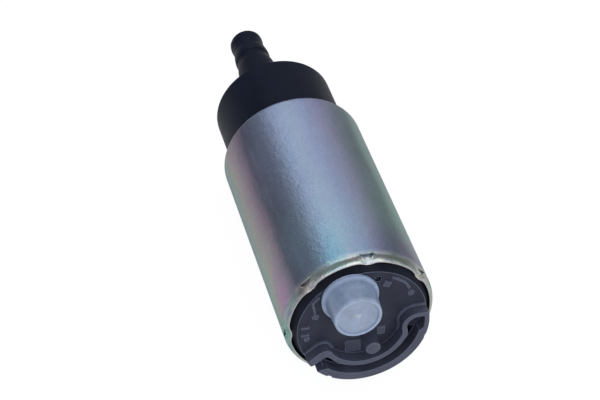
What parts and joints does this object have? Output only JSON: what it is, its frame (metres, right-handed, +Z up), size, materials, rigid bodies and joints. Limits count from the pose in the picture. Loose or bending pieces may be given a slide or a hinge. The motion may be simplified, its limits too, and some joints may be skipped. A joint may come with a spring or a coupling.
{
  "type": "electric fuel pump",
  "caption": "In-tank electric fuel pump: turbine and motor in a round steel case, capped inlet nozzle with strainer rail, barbed outlet spigot and connector socket.",
  "frame": {"origin": "on the pump axis, in the middle of the straight stretch of the steel case that a clamp holds", "axes": "+Y along the pump axis towards the outlet spigot, +Z up as the pump lies on its side in the picture, with the inlet nozzle and the outlet spigot above the axis; metres"},
  "size_m": [0.038, 0.1144, 0.038],
  "materials": {
    "case_steel": "bright passivated steel with a faint blue and violet sheen",
    "inlet_plastic": "satin moulded, dark slate",
    "outlet_plastic": "satin moulded, near black",
    "cap_plastic": "soft translucent blue-white",
    "impeller_plastic": "matte phenolic",
    "bright_steel": "ground",
    "bronze": "sintered",
    "core_iron": "laminated",
    "insulator_plastic": "matte",
    "copper": "bright copper",
    "ferrite": "ground ceramic, matte",
    "holder_plastic": "matte moulded",
    "carbon": "matte carbon",
    "terminal_brass": "satin",
    "seal_rubber": "matte"
  },
  "bodies": {
    "housing": {"case_shell": "case_steel", "inlet_cover": "inlet_plastic", "channel_ring": "inlet_plastic", "pump_casing": "inlet_plastic", "thrust_button": "bright_steel", "lower_bearing": "bronze", "upper_bearing": "bronze", "magnet_upper": "ferrite", "magnet_lower": "ferrite", "magnet_clip_left": "bright_steel", "magnet_clip_right": "bright_steel", "brush_holder": "holder_plastic", "brush_spring_positive": "bright_steel", "brush_spring_negative": "bright_steel", "brush_lead_positive": "copper", "brush_lead_negative": "copper", "choke_core_positive": "ferrite", "choke_core_negative": "ferrite", "choke_coil_positive": "copper", "choke_coil_negative": "copper", "terminal_positive": "terminal_brass", "terminal_negative": "terminal_brass", "outlet_cover": "outlet_plastic", "case_seal": "seal_rubber", "check_valve_spring": "bright_steel", "check_valve_retainer": "holder_plastic", "relief_spring": "bright_steel", "relief_plug": "terminal_brass"},
    "rotor": {"rotor_shaft": "bright_steel", "impeller": "impeller_plastic", "armature_core": "core_iron", "insulator_inlet_end": "insulator_plastic", "insulator_outlet_end": "insulator_plastic", "windings": "copper", "commutator_base": "holder_plastic", "commutator_segments": "copper"},
    "positive_brush": {"brush_positive": "carbon"},
    "negative_brush": {"brush_negative": "carbon"},
    "outlet_valve": {"check_valve": "terminal_brass"},
    "relief_valve": {"relief_ball": "bright_steel"},
    "cap": {"inlet_cap": "cap_plastic"}
  },
  "joints": [
    {"name": "rotor_spin", "type": "hinge", "parent": "housing", "child": "rotor", "pos_m": [0, 0, 0], "axis": [0, 1, 0], "continuous": true},
    {"name": "positive_brush_slide", "type": "slide", "parent": "housing", "child": "positive_brush", "axis": [0, 1, 0], "range_m": [0, 0.004], "stiffness_N_per_m": 60, "springref_m": -0.012, "deforming": ["brush_spring_positive", "brush_lead_positive"]},
    {"name": "negative_brush_slide", "type": "slide", "parent": "housing", "child": "negative_brush", "axis": [0, 1, 0], "range_m": [0, 0.004], "stiffness_N_per_m": 60, "springref_m": -0.012, "deforming": ["brush_spring_negative", "brush_lead_negative"]},
    {"name": "outlet_valve_slide", "type": "slide", "parent": "housing", "child": "outlet_valve", "axis": [0, 1, 0], "range_m": [0, 0.002], "stiffness_N_per_m": 40, "springref_m": -0.004, "deforming": ["check_valve_spring"]},
    {"name": "relief_valve_slide", "type": "slide", "parent": "housing", "child": "relief_valve", "axis": [0, 1, 0], "range_m": [0, 0.001], "stiffness_N_per_m": 30, "springref_m": -0.01, "deforming": ["relief_spring"]},
    {"name": "cap_pull", "type": "slide", "parent": "housing", "child": "cap", "axis": [0, -1, 0], "range_m": [0, 0.02]}
  ]
}
